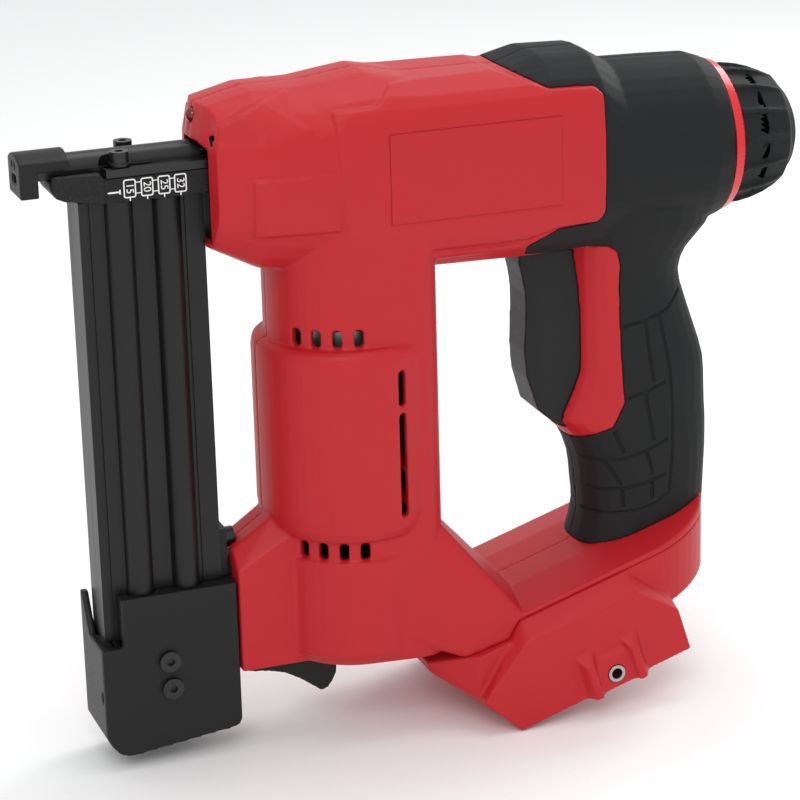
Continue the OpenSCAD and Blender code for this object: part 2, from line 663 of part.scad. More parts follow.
// Flange of the nose, or the room for it
module flange_plan(grow, x0, x1, top) {
  translate([x0, 0, 0]) rotate([90, 0, 90]) linear_extrude(x1 - x0)
    polygon([[-nose_hw + 2 - grow, -14 - grow], [nose_hw - 2 + grow, -14 - grow], [nose_hw + 4 + grow, -4 - grow],
      [nose_hw + 4 + grow, top], [-nose_hw - 4 - grow, top], [-nose_hw - 4 - grow, -4 - grow]]);
}
module nose_body() {
  color(tar) place() difference() {
    union() {
      intersection() {
        translate([0, 0, nose_z0]) linear_extrude(20) nose_plan();
        side_prism([[nose_x0, nose_z1 + 2.2], [nose_x0, nose_z0 + 5.2], [nose_x0 + 1.4, nose_z0 + 2.8],
          [nose_x0 + 4.1, nose_z0 + 1.6], [nose_x0 + 17, nose_z0], [plate_x0 + eps, nose_z0], [plate_x0 + eps, nose_z1],
          [8.4, nose_z1], [6.9, nose_z1 + 2.2]], -nose_hw - 1, nose_hw + 1);
      }
      flange_plan(0, plate_x0, flange_x, nose_z1);
      box(nose_x0, flange_x, -rib_hw, rib_hw, nose_z1 - 2, drive_z + 1.9);
    }
    difference() {
      box(nose_x0 - 1, 8.6, -8.3, 8.3, nose_z1, nose_z1 + 4);
      box(nose_x0 - 2, 9, -rib_hw, rib_hw, nose_z1 - 1, nose_z1 + 5);
    }
    box(nose_x0 - 1, flange_x + 1, -1.15, 1.15, drive_z - 0.9, drive_z + 0.9);
    box(2, 35.5, -0.75, 0.75, nose_z0 - 1, drive_z);
    for (i = [0, 1]) z_cyl(1.9 + run_gap, nose_z1 - 8, nose_z1 + 1, nose_screw_x[i], (2 * i - 1) * nose_screw_y);
    y_cyl(2.2, -nose_hw - 5, nose_hw + 5, plate_x0 + 3, -9);
  }
}
module length_scale() {
  color("#101010") place() box(8.2, 37, -nose_hw - 0.2, -nose_hw, nose_z0 + 0.2, nose_z1 - 0.2);
}
bar_z0 = nose_z1 + 0.3;
bar_z1 = nose_z1 + 3;
module nose_screws() {
  color(black) place() for (i = [0, 1]) translate([nose_screw_x[i], (2 * i - 1) * nose_screw_y, 0]) difference() {
    union() {
      z_cyl(3.1, bar_z1 + 0.3, bar_z1 + 5);
      z_cyl(3.6, bar_z1 + 0.3, bar_z1 + 1.3);
      z_cyl(1.9, nose_z1 - 7, bar_z1 + 0.3);
    }
    translate([0, 0, bar_z1 + 2.6]) cylinder(r = 1.5, h = 3, $fn = 6);
  }
}
ridge_r = 4.6;
module contact_bar() {
  color(tar) place() difference() {
    union() {
      box(-14, 9 + eps, -5, 5, bar_z0, bar_z1);
      box(9, mag_w + 1, -11.5, 11.5, bar_z0, bar_z1);
      box(-16.4, -12.6, -5, 5, 7.4, bar_z1);
      intersection() {
        x_cyl(ridge_r, -14, mag_w + 1, 0, bar_z1);
        box(-20, mag_w + 2, -8, 8, bar_z1 - 0.1, bar_z1 + 8);
      }
    }
    for (i = [0, 1]) translate([0, (2 * i - 1) * nose_screw_y, bar_z0 - 1]) {
      z_cyl(2.3, 0, 5, nose_screw_x[i]);
      z_cyl(2.3, 0, 5, nose_screw_x[i] - contact_travel);
      box(nose_screw_x[i] - contact_travel, nose_screw_x[i], -2.3, 2.3, 0, 5);
    }
    for (i = [0, 1]) hull() {
      translate([nose_screw_x[i] - contact_travel - 0.4, (2 * i - 1) * nose_screw_y, bar_z1]) cylinder(r = 3.9, h = 9, $fn = 24);
      translate([nose_screw_x[i], (2 * i - 1) * nose_screw_y, bar_z1]) cylinder(r = 3.9, h = 9, $fn = 24);
    }
    for (i = [0, 1]) hull() for (x = [4, 9.4]) {
      translate([nose_screw_x[i] + x, (2 * i - 1) * nose_screw_y, bar_z1 - 1.2]) cylinder(r = 1.5, h = 2, $fn = 16);
    }
    box(-20, -12, -1.3, 1.3, drive_z - 1.1, drive_z + 1.1);
    box(-12.3, mag_w + 2, -rib_hw - seat_gap, rib_hw + seat_gap, bar_z0 - 1, drive_z + 2.2);
  }
}
tip_hw = 8;
module contact_tip() {
  color(black) place() difference() {
    union() {
      intersection() {
        x_cyl(14.5, nose_front, -2, 0, 5.8);
        union() {
          box(nose_front - 1, -1, -tip_hw, tip_hw, 15.6, 24);
          box(nose_front - 1, -12.4, -tip_hw, tip_hw, 6.3, 24);
        }
      }
    }
    box(-16.4, -12.4 + eps, -5, 5, 7.4, bar_z1 + eps);
    intersection() {
      x_cyl(ridge_r + run_gap, -14, 0, 0, bar_z1);
      box(-20, 0, -8, 8, bar_z1 - 0.1, bar_z1 + 8);
    }
    box(nose_front - 1, -16.3, -3, 3, drive_z - 1.6, drive_z + 1.2);
    box(-17, -12, -1.6, 1.6, drive_z - 1.3, drive_z + 1.3);
    both_sides() box(nose_front - 1, nose_front + 1.4, 1.2, 2.7, 15.4, 17.8);
  }
}

// Coil along Z from z0 to z1, as a closed tube of few sides
module coil(r, wire, z0, z1, turns, steps = 12, sides = 5) {
  n = turns * steps;
  skin([for (i = [0:n]) let (a = i * 360 / steps, z = z0 + wire + (z1 - z0 - 2 * wire) * i / n)
    [for (j = [0:sides - 1]) let (b = -j * 360 / sides)
      [(r + wire * cos(b)) * cos(a), (r + wire * cos(b)) * sin(a), z - wire * sin(b)]]]);
}
module contact_spring() {
  color(steel) place() translate([0, 0, bar_z1 + 2.05]) rotate([0, 90, 0])
    coil(1.7, 0.3, mag_w + 1.1, flange_x - 0.1, 5, 10, 4);
}

// ---- magazine
rib_x = [13.3, 29.4];
rib_r = 4.8;
rib_y = 7;
channel_z0 = mag_bottom + 41;
cavity_hw = 5;
rail_x0 = 4;
rail_x1 = mag_w - 4;
module channel_outline(grow) {
  translate([-grow, -mag_t / 2 - grow]) square([mag_w + 2 * grow, mag_t + 2 * grow]);
  for (x = rib_x) for (s = [-1, 1]) translate([x, s * rib_y]) circle(r = rib_r + grow);
}
module magazine_channel() {
  color(tar) place() translate([0, 0, channel_z0]) linear_extrude(nose_z0 - channel_z0) difference() {
    channel_outline(0);
    translate([rail_x0 - seat_gap, -cavity_hw]) square([rail_x1 - rail_x0 + 2 * seat_gap, 2 * cavity_hw]);
    for (s = [-1, 1]) {
      for (x = rib_x) translate([x, s * (rib_y + 0.8)]) circle(r = 1.5);
      translate([35, s * mag_t / 2]) square([1.2, 1.2], center = true);
      translate([3, s * mag_t / 2]) square([1.2, 1.2], center = true);
    }
  }
}
bracket_z0 = cover_top + 0.5;
screw_z = cover_top + 12;
module magazine_bracket() {
  color(tar) place() difference() {
    union() {
      box(mag_w, mag_w + 2.4, -7, 7, bracket_z0, cover_top + 17.5);
      box(mag_w + 2.4, mag_w + 4.2, -6, 6, bracket_z0, cover_top + 2.5);
    }
    x_cyl(2 + run_gap, mag_w - 1, mag_w + 4, 0, screw_z);
  }
}
module bracket_screw() {
  color(black) place() union() {
    x_cyl(3.3, mag_w + 2.4, mag_w + 6.6, 0, screw_z);
    x_cyl(2, mag_w, mag_w + 2.4, 0, screw_z);
  }
}
cover_wall = 2.3;
cover_screw_at = [[20.5, mag_bottom + 33], [21, mag_bottom + 23]];
cover_step = mag_bottom + 40;
module magazine_cover() {
  color("#2b2b2b") place() difference() {
    side_prism([[cover_front, cover_top], [cover_back, cover_top], [cover_back, mag_bottom + 7],
      [cover_back - 1.2, mag_bottom + 5], [cover_back - 3, mag_bottom + 4.2], [8, mag_bottom + 0.2], [5, mag_bottom],
      [1.6, mag_bottom + 1.2], [-1.2, mag_bottom + 4.6], [cover_front, mag_bottom + 8]], -cover_hw, cover_hw);
    // room for the channel, then for the rail
    translate([0, 0, channel_z0 - 1]) linear_extrude(cover_h) channel_outline(seat_gap);
    difference() {
      box(cover_front + cover_wall, cover_back - cover_wall, -cover_hw + cover_wall, cover_hw - cover_wall,
        mag_bottom + 7, channel_z0);
      for (p = cover_screw_at) y_cyl(5, -20, 20, p[0], p[1]);
      box(0, rail_x0 + 2, -9, 9, mag_bottom, channel_z0 - 4);
    }
    box(rail_x0, rail_x1, -4.7, 4.7, mag_bottom + 4.2, channel_z0);
    // the step that shows the channel at the front, with a raised far corner
    box(cover_front - 1, 4.8, -cover_hw - 1, cover_hw + 1, cover_top - 4.6, cover_top + 1);
    box(-0.3, 4.8, -cover_hw - 1, cover_hw + 1, cover_step, cover_top);
    translate([cover_front - 1, 0, 0]) rotate([90, 0, 90]) linear_extrude(4) polygon([[-cover_hw - 1, cover_step],
      [3, cover_step], [cover_hw - 3, cover_top - 4.7], [cover_hw - 3, cover_top + 1], [-cover_hw - 1, cover_top + 1]]);
    for (p = cover_screw_at) y_cyl(2 + run_gap, -cover_hw - 1, 0, p[0], p[1]);
    box(cover_front - 1, 0, -cover_hw + 2, -cover_hw + 4, mag_bottom + 20, mag_bottom + 24);
  }
}
module cover_screws() {
  color(black) place() for (p = cover_screw_at) difference() {
    union() {
      y_cyl(3.7, -cover_hw - 1.7, -cover_hw, p[0], p[1]);
      y_cyl(2, -cover_hw, -4.7, p[0], p[1]);
    }
    translate([p[0], -cover_hw - 0.4, p[1]]) rotate([90, 0, 0]) cylinder(r = 1.5, h = 2, $fn = 6);
  }
}
rail_top = 2.8;
pusher_x0 = rail_x0 + 2.2;
pusher_x1 = rail_x1 - 2.2;
pusher_top = -1;
pusher_len = 36;
module inner_rail() {
  color(steel) place() difference() {
    box(rail_x0, rail_x1, -4.7, 4.7, mag_bottom + 4.2, rail_top);
    box(rail_x0 + 1.6, rail_x1 - 1.6, -2.6, 2.6, mag_bottom + 20, rail_top + 1);
  }
}
roll_x = 21;
roll_z = pusher_top - 17;
roll_r = 5;
module pusher() {
  color(black) place() difference() {
    box(pusher_x0, pusher_x1, -2.3, 2.3, pusher_top - pusher_len, pusher_top);
    y_cyl(roll_r + seat_gap, -3, 3, roll_x, roll_z);
    box(roll_x + roll_r - 0.6, roll_x + roll_r + 0.4, -3, 3, roll_z, pusher_top + 1);
  }
}
module pusher_spring() {
  color(steel) place() union() {
    y_cyl(roll_r, -2, 2, roll_x, roll_z);
    box(roll_x + roll_r - 0.3, roll_x + roll_r, -2, 2, roll_z, rail_top - 0.4);
  }
}

// ---- latch that frees the magazine's cover
module latch_lever() {
  color(black) place() difference() {
    union() {
      side_prism([[latch_x - 12.7, latch_z + 4], [latch_x - 11.2, latch_z - 6], [latch_x - 7.8, latch_z - 8.8],
        [latch_x - 1.3, latch_z - 9.7], [latch_x + 4.7, latch_z - 11.4], [latch_x + 10.2, latch_z - 14.6],
        [latch_x + 18, latch_z - 20.5], [latch_x + 20.4, latch_z - 19.6], [latch_x + 22.6, latch_z - 16.6],
        [latch_x + 23.7, latch_z - 13.8], [latch_x + 24.2, latch_z - 5.6], [latch_x + 5, latch_z - 4],
        [latch_x, latch_z + 4.6]], -latch_hw, latch_hw);
      y_cyl(4.6, -latch_hw, latch_hw, latch_x, latch_z);
    }
    y_cyl(2 + run_gap, -latch_hw - 1, latch_hw + 1, latch_x, latch_z);
    y_cyl(5.2, -2, 2, latch_x, latch_z);
  }
}
module latch_pin() {
  color(steel) place() y_cyl(2, -cover_hw + 2, cover_hw - 2, latch_x, latch_z);
}
module latch_spring() {
  color(steel) place() for (y = [-1.2, 0, 1.2]) translate([latch_x, y, latch_z]) rotate([90, 0, 0])
    rotate_extrude() translate([2.9, 0]) circle(r = 0.58);
}

// ---- trigger and switch
trigger_x1 = handle_x - 22;
module trigger() {
  color(black) place() intersection() {
    side_prism([[handle_x - 45.5, trigger_top], [handle_x - 45.6, -36.5], [handle_x - 44.6, -41],
      [handle_x - 43.6, -47], [handle_x - 43.5, -54], [handle_x - 44.2, -68], [handle_x - 43.4, -77.4],
      [handle_x - 39.8, trigger_z0 + 7.4], [handle_x - 33.4, trigger_z0 + 1.4], [handle_x - 27.4, trigger_z0 - 0.4],
      [trigger_x1, trigger_z0 + 6.6], [trigger_x1, trigger_top]], -trigger_hw, trigger_hw);
    translate([0, 0, trigger_z0 - 5]) linear_extrude(trigger_top - trigger_z0 + 10) hull() {
      translate([handle_x - 52, -5]) square([1, 10]);
      translate([handle_x - 43.5 + 6, 0]) circle(r = trigger_hw);
      translate([trigger_x1 - 4, -trigger_hw]) square([4, 2 * trigger_hw]);
    }
  }
}
switch_x0 = handle_x - 12.5;
switch_hw = 11;
module trigger_switch() {
  color(black) place() union() {
    box(switch_x0, switch_x0 + 18, -switch_hw, switch_hw, -70, -43);
    box(switch_x0 - 1.6, switch_x0, -3, 3, -64, -60);
  }
}
module trigger_spring() {
  color(steel) place() translate([0, 0, -52]) rotate([0, 90, 0])
    coil(3, 0.45, trigger_x1 + 0.1, switch_x0 - 0.1, 5, 10, 4);
}

// ---- striker drive inside the barrel
bumper_len = 8;
striker_x0 = cyl_x0 + bumper_len;
striker_len = 20;
striker_x1 = striker_x0 + striker_len;
flat_z = -12.8;
lifter_x = column_x + 15;
lifter_z = -23.5;
pitch_z = lifter_z + lifter_r;
tooth_pitch = 2 * PI * lifter_r / lifter_pins;
pin_r = 1.3;
rack_y0 = 4.9;
rack_y1 = 9.5;
rack_x0 = striker_x0 - 6.5;
rack_x1 = lifter_x + tooth_pitch * 0.5 + 2.2;
worm_r = 4.7;
seat_x0 = cyl_x1 - 14;
plate_x = cyl_x1;
plate_len = 6;
screw_rr = 6;

module guide_cylinder() {
  color(alloy) place() difference() {
    union() {
      x_cyl(cyl_out, cyl_x0, cyl_x1);
      x_cyl(cyl_out - 1.5, flange_x, cyl_x0 + 1);
    }
    x_cyl(bore_r, cyl_x0, cyl_x1 + 1);
    box(flange_x - 1, cyl_x0 + 1, -1.3, 1.3, drive_z - 1, drive_z + 1);
    box(cyl_x0 + 0.6, rack_x1 + stroke + 1.2, rack_y0 - 0.3, rack_y1 + 0.3, -cyl_out - 1, -10);
    box(column_x - worm_r - 1, lifter_x + lifter_r + 4, -worm_r - 0.6, 12, -cyl_out - 1, -12);
  }
}
module end_plate() {
  color(alloy) place() difference() {
    x_cyl(cyl_out + 3, plate_x, plate_x + plate_len);
    x_cyl(screw_rr + run_gap, plate_x - 1, plate_x + plate_len + 1);
  }
}
module bumper() {
  color(black) place() intersection() {
    difference() {
      x_cyl(bore_r - seat_gap, cyl_x0, striker_x0 - 0.2);
      x_cyl(7, cyl_x0 - 1, striker_x0 + 1);
      box(cyl_x0 - 1, striker_x0 + 1, -1.6, 1.6, drive_z - 1.3, drive_z + 1.3);
    }
    box(cyl_x0 - 1, striker_x0 + 1, -30, 30, -10.6, 30);
  }
}
module rack_tooth(x) {
  side_prism([[x - 2.1, pitch_z + 2.4], [x - 1.9, pitch_z], [x - 0.7, pitch_z - 2], [x + 0.7, pitch_z - 2],
    [x + 1.9, pitch_z], [x + 2.1, pitch_z + 2.4]], rack_y0, rack_y1);
}
module striker() {
  color(steel) place() union() {
    difference() {
      x_cyl(bore_r - run_gap, striker_x0, striker_x1);
      box(striker_x0 - 1, striker_x1 + 1, -30, 30, -30, flat_z);
    }
    box(rack_x0, rack_x1, rack_y0, rack_y1, pitch_z + 1.9, -11);
    for (k = [-1:floor((lifter_x - rack_x0 - 2) / tooth_pitch - 0.5)]) rack_tooth(lifter_x - (k + 0.5) * tooth_pitch);
  }
}
module driver_blade() {
  color(steel) place() box(-14, striker_x0, -1, 1, drive_z - 0.7, drive_z + 0.7);
}
module main_spring() {
  color(steel) place() rotate([0, 90, 0]) coil(10.2, 1.4, striker_x1 + 0.1, seat_x0 - 0.1, 11, 12, 5);
}
module spring_seat() {
  color(alloy) place() difference() {
    union() {
      x_cyl(bore_r - run_gap, seat_x0, seat_x0 + 6);
      x_cyl(9, seat_x0 + 6, seat_x0 + 9);
    }
    x_cyl(screw_rr + run_gap, seat_x0 + 1, seat_x0 + 10);
    x_cyl(3, seat_x0 - 1, seat_x0 + 2);
  }
}
knob_x0 = handle_x + 31.8;
knob_len = knob_end - knob_x0;
module adjuster_screw() {
  color(steel) place() union() {
    x_cyl(screw_rr, seat_x0 + 4, knob_end - 8);
    x_cyl(9, plate_x + plate_len + 0.1, plate_x + plate_len + 3);
  }
}
knob_r = barrel_hw - 3.4;
module rear_knob() {
  color(black) place() difference() {
    translate([knob_x0, 0, 0]) rotate([0, 90, 0]) rotate_extrude() polygon([
      [screw_rr + run_gap, 0], [9.5, 0], [9.5, knob_len - 9], [knob_r - 9, knob_len - 9], [knob_r - 3, 10],
      [knob_r - 3, 0], [knob_r, 0], [knob_r, 4], [knob_r - 0.8, 9], [knob_r - 2.2, 14], [knob_r - 4.2, 19],
      [knob_r - 7, knob_len - 5.6], [knob_r - 9.5, knob_len - 3], [knob_r - 13, knob_len - 0.9],
      [knob_r - 16.5, knob_len], [0, knob_len], [0, knob_len - 8], [screw_rr + run_gap, knob_len - 8]]);
    for (a = [0:24:336]) rotate([a, 0, 0]) translate([knob_x0 - 1, -4, knob_r - 0.9]) rotate([0, 11, 0])
      cube([knob_len - 5, 8, 6]);
  }
}

// ---- lifter, worm, gearbox and motor
plate_y = 12.6;
module lifter() {
  color(steel) place() translate([lifter_x, 0, lifter_z]) difference() {
    union() {
      y_cyl(lifter_r + 1.8, -2.9, 2.9);
      y_cyl(lifter_r + 1.6, 3.2, 4.2);
      y_cyl(lifter_r + 1.6, 9.8, 10.8);
      y_cyl(4.2, -4, 11.4);
      for (i = [0:lifter_pins - 1]) rotate([0, i * 360 / lifter_pins, 0]) y_cyl(pin_r, 4.1, 9.9, 0, lifter_r);
    }
    y_cyl(3, -6, 13);
    for (i = [0:19]) rotate([0, 9 + i * 18, 0]) box(lifter_r + 1.2, lifter_r + 3, -4, 3, -0.5, 0.5);
  }
}
module lifter_shaft() {
  color(steel) place() y_cyl(3, -plate_y - 3.6, plate_y + 3.6, lifter_x, lifter_z);
}
bearing_r = 7;
module lifter_bearings() {
  color(steel) place() both_sides() difference() {
    y_cyl(bearing_r, -plate_y - 3, -plate_y, lifter_x, lifter_z);
    y_cyl(3 + run_gap, -plate_y - 4, -plate_y + 1, lifter_x, lifter_z);
  }
}
module drive_bracket() {
  color(alloy) place() difference() {
    union() {
      both_sides() side_prism([[column_x - 8, gearbox_z1], [lifter_x + 8.4, gearbox_z1 + 6],
        [lifter_x + 8.4, -18], [lifter_x + 4, -15.4], [lifter_x - 6, -15.4], [column_x - 8, gearbox_z1 + 8]],
        -plate_y - 3, -plate_y);
      box(column_x - 8, column_x + 16, -plate_y - 3, plate_y + 3, gearbox_z1, gearbox_z1 + 2.6);
    }
    z_cyl(worm_r + 1, gearbox_z1 - 1, gearbox_z1 + 4, column_x);
    y_cyl(bearing_r, -plate_y - 4, plate_y + 4, lifter_x, lifter_z);
  }
}
module worm() {
  color(steel) place() translate([column_x, 0, 0]) difference() {
    union() {
      z_cyl(worm_r, lifter_z - 9.5, lifter_z + 9);
      z_cyl(3, gearbox_z1 - 4, lifter_z - 9);
    }
    for (i = [0:5]) translate([0, 0, lifter_z - 8.2 + 3 * i]) rotate_extrude() polygon([
      [worm_r + 1, -0.9], [worm_r - 1.2, -0.4], [worm_r - 1.2, 0.4], [worm_r + 1, 0.9]]);
  }
}
shaft_r = 2.5;
module gearbox() {
  color(alloy) place() translate([column_x, 0, 0]) difference() {
    z_cyl(motor_r - 1, gearbox_z0, gearbox_z1);
    z_cyl(3 + run_gap, gearbox_z1 - 5, gearbox_z1 + 1);
    z_cyl(motor_r - 4, gearbox_z0 + 2, gearbox_z1 - 5);
    z_cyl(shaft_r + run_gap, gearbox_z0 - 1, gearbox_z0 + 3);
  }
}
module motor_can() {
  color(steel) place() translate([column_x, 0, 0]) difference() {
    z_cyl(motor_r, motor_z0, gearbox_z0);
    z_cyl(motor_r - 2, motor_z0 + 2, gearbox_z0 - 2);
    z_cyl(shaft_r + run_gap, motor_z0 - 1, gearbox_z0 + 1);
  }
}
module motor_rotor() {
  color("#8a5a34") place() translate([column_x, 0, 0]) union() {
    z_cyl(shaft_r, fan_z1 - 10, gearbox_z0 + 6);
    z_cyl(motor_r - 6, motor_z0 + 8, gearbox_z0 - 7);
  }
}
fan_r = neck_r - wall - 3;
module motor_fan() {
  color(black) place() translate([column_x, 0, 0]) difference() {
    union() {
      z_cyl(fan_r, fan_z1 - 1.4, fan_z1);
      z_cyl(5, fan_z1 - 8, fan_z1 - 1);
      for (i = [0:8]) rotate([0, 0, i * 40]) box(4, fan_r - 0.5, -0.6, 0.6, fan_z1 - 8, fan_z1 - 1);
    }
    z_cyl(shaft_r, fan_z1 - 9, fan_z1 + 1);
  }
}
module control_board() {
  color("#24513a") place() difference() {
    union() {
      box(column_x - 17, column_x + 17, -16.5, 16.5, board_z, board_z + 1.6);
      box(column_x - 12, column_x - 2, -12, 4, board_z + 1.5, board_z + 7);
      z_cyl(4, board_z + 1.5, board_z + 9, column_x + 8, 6);
    }
    z_cyl(1.2, board_z - 1, board_z + 3, column_x + 14, -13);
  }
}

housing_left();
housing_right();
grip_left();
grip_right();
battery_foot();
terminal_block();
terminal_contacts();
hook_inserts();
housing_screws();
trim_ring();
label_plates();
led_lenses();
nose_body();
length_scale();
nose_screws();
contact_bar();
contact_tip();
contact_spring();
magazine_channel();
magazine_bracket();
bracket_screw();
magazine_cover();
cover_screws();
inner_rail();
pusher();
pusher_spring();
latch_lever();
latch_pin();
latch_spring();
trigger();
trigger_switch();
trigger_spring();
rear_knob();
adjuster_screw();
end_plate();
spring_seat();
guide_cylinder();
striker();
driver_blade();
main_spring();
bumper();
lifter();
lifter_shaft();
lifter_bearings();
drive_bracket();
worm();
gearbox();
motor_can();
motor_rotor();
motor_fan();
control_board();
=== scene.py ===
"""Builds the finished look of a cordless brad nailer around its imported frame."""

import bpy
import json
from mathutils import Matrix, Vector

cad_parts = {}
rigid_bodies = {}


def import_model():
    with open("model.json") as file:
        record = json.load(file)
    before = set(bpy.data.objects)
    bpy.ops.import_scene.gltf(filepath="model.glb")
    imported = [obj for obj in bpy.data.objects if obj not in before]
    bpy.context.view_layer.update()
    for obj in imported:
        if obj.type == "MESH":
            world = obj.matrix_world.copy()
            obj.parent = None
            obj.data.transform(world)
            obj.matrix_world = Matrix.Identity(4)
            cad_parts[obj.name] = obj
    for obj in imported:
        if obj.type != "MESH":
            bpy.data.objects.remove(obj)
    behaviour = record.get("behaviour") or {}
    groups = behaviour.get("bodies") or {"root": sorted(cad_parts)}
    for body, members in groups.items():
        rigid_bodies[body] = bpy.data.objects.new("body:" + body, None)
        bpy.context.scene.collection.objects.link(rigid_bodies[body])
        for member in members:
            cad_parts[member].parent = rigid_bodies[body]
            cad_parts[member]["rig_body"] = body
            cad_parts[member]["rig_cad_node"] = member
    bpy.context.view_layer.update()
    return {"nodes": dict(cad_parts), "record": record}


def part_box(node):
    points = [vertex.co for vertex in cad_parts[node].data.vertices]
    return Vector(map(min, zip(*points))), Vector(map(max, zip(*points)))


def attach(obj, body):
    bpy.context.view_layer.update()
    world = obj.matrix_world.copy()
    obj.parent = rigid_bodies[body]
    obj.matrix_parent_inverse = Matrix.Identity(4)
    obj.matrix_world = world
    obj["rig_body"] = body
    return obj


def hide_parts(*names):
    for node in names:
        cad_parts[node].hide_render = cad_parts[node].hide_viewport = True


bl_info = {
    "name": "Brad Nailer Maker",
    "version": (1, 0, 0),
    "blender": (4, 5, 0),
    "location": "View3D > Sidebar > Nailer",
    "description": "Finishes a cordless brad nailer piece by piece around its mechanical frame",
    "category": "Object",
}

import json
import math

import bpy
from bpy.props import FloatProperty, PointerProperty, StringProperty
from mathutils import Matrix, Vector

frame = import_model()
MM = 0.001
AXIS_Z = 0.5 * (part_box("trim_ring")[0].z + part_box("trim_ring")[1].z)
MAG_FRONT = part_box("magazine_channel")[0].x
LEFT, RIGHT = -1, 1
BODY_OF = {n: b for b, ns in frame["record"]["behaviour"]["bodies"].items() for n in ns}
SLOT_OF = {s["node"]: s["material_slot"] for s in frame["record"]["subparts"]}


def at(x, y, z):
    """A point in metres from millimetres behind the magazine's front, to the right, and above the barrel's axis."""
    return Vector((MAG_FRONT + x * MM, y * MM, AXIS_Z + z * MM))


# ---------------------------------------------------------------- settings

class NailerColours(bpy.types.PropertyGroup):
    """Colours of the tool, as sRGB hex values."""

    red: StringProperty(name="Housing red", description="Moulded ABS of the housing", default="B81E25")
    ring: StringProperty(name="Ring red", description="Gloss trim ring in front of the knob", default="D41B22")
    skin: StringProperty(name="Grip black", description="Soft overmould of the handle", default="1D1E1F")
    black: StringProperty(name="Part black", description="Moulded black parts", default="191919")
    anodised: StringProperty(name="Anodised black", description="Magazine extrusion", default="0F0F10")
    mark: StringProperty(name="Print white", description="Printed marks of the length scale", default="E8E8E6")


class NailerSizes(bpy.types.PropertyGroup):
    """Sizes of the finishing details, in metres."""

    edge: FloatProperty(name="Edge radius", description="Radius of moulded edges", default=0.5 * MM, min=0.1 * MM,
                        max=1.2 * MM, unit="LENGTH", precision=5)
    grain: FloatProperty(name="Mould grain", description="Size of one grain of the moulded texture",
                         default=0.55 * MM, min=0.2 * MM, max=2 * MM, unit="LENGTH", precision=5)
    coarse: FloatProperty(name="Shell step", description="Step at which the large moulded shells are rebuilt",
                          default=0.6 * MM, min=0.4 * MM, max=2 * MM, unit="LENGTH", precision=5)
    groove: FloatProperty(name="Groove", description="Width of the engraved lines of the grip",
                          default=1.4 * MM, min=0.4 * MM, max=2 * MM, unit="LENGTH", precision=5)
    fine: FloatProperty(name="Remesh step", description="Step at which the small moulded parts are rebuilt",
                        default=0.5 * MM, min=0.3 * MM, max=1.5 * MM, unit="LENGTH", precision=5)


class NailerCamera(bpy.types.PropertyGroup):
    """Where the tool is seen from."""

    yaw: FloatProperty(name="Turn", description="Turn of the view about the vertical", default=math.radians(19.72),
                       subtype="ANGLE")
    pitch: FloatProperty(name="Tilt", description="How far the view looks down", default=math.radians(18.6),
                         subtype="ANGLE")
    roll: FloatProperty(name="Roll", description="Turn of the view about its own line", default=math.radians(-1.587),
                        subtype="ANGLE")
    reach: FloatProperty(name="Distance", description="From the camera to the point looked at", default=1.02492,
                         unit="LENGTH")
    lens: FloatProperty(name="Lens", description="Focal length on a 36 mm sensor", default=133.464,
                        unit="CAMERA")


# ---------------------------------------------------------------- materials

def linear(code):
    """Linear RGBA of an sRGB hex value."""
    parts = [int(code[i:i + 2], 16) / 255 for i in (0, 2, 4)]
    return tuple(c / 12.92 if c <= 0.04045 else ((c + 0.055) / 1.055) ** 2.4 for c in parts) + (1.0,)


def per(size_mm):
    """Noise scale whose features have that size in millimetres."""
    return 1 / (size_mm * MM)


def add_node(tree, kind, inputs=None, **settings):
    """Add one node, set its properties, and set or link its inputs."""
    node = tree.nodes.new(kind)
    for key, value in settings.items():
        setattr(node, key, value)
    for key, value in (inputs or {}).items():
        if isinstance(value, bpy.types.NodeSocket):
            tree.links.new(value, node.inputs[key])
        else:
            node.inputs[key].default_value = value
    return node


def new_material(name):
    """A material with its tree, its shader and object coordinates."""
    mat = bpy.data.materials.new(name)
    mat.use_nodes = True
    tree = mat.node_tree
    tree.nodes.clear()
    shader = add_node(tree, "ShaderNodeBsdfPrincipled")
    add_node(tree, "ShaderNodeOutputMaterial", {"Surface": shader.outputs["BSDF"]})
    place = add_node(tree, "ShaderNodeTexCoord").outputs["Object"]
    return mat, tree, shader, place


def stretched(tree, place, sx, sy, sz):
    """Coordinates scaled along each axis, for a grain that runs one way."""
    return add_node(tree, "ShaderNodeMapping", {"Vector": place, "Scale": (sx, sy, sz)}).outputs["Vector"]


def blend_colours(tree, factor, a, b):
    """Mix of two colours by a factor."""
    return add_node(tree, "ShaderNodeMix", {0: factor, 6: a, 7: b}, data_type="RGBA").outputs[2]


def ramp(tree, value, low, high, out_low=0.0, out_high=1.0):
    """Map a value from one range to another and clamp it."""
    return add_node(tree, "ShaderNodeMapRange", {0: value, 1: low, 2: high, 3: out_low, 4: out_high}).outputs[0]


